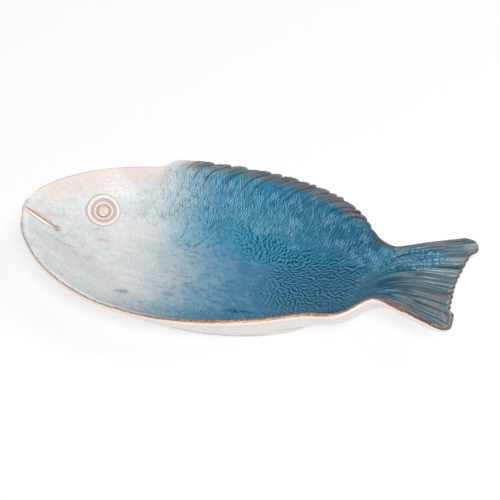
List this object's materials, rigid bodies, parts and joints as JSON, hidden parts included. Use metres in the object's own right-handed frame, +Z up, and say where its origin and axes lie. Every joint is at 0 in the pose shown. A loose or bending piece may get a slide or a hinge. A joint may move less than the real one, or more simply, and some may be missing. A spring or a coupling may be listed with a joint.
{
  "type": "fish-shaped platter",
  "caption": "Deep fish-shaped serving platter in glazed stoneware: leaf-shaped dish on an oval foot ring, ribbed dorsal fin, rayed tail fin, raised eye and lips.",
  "frame": {"origin": "under the middle of the platter's box, in the plane that its foot ring stands on", "axes": "+X from the nose to the tail, +Y towards the dorsal fin, +Z up"},
  "size_m": [0.4106, 0.191, 0.0605],
  "materials": {
    "blue_glaze": "glossy reactive glaze, off-white at the head running into blue",
    "fin_glaze": "glossy reactive glaze, blue in the grooves and brown on the crests",
    "pale_glaze": "glossy pale glaze",
    "cream_glaze": "glossy cream glaze, worn thin on the crests",
    "bare_clay": "bare fired stoneware, matt"
  },
  "bodies": {
    "root": {"dish": "blue_glaze", "dorsal_fin": "fin_glaze", "tail_fin": "fin_glaze", "foot_ring": "bare_clay", "eye_outer_ring": "pale_glaze", "eye_inner_ring": "pale_glaze", "eye_pupil": "cream_glaze", "upper_lip": "cream_glaze", "lower_lip": "cream_glaze"}
  },
  "joints": []
}
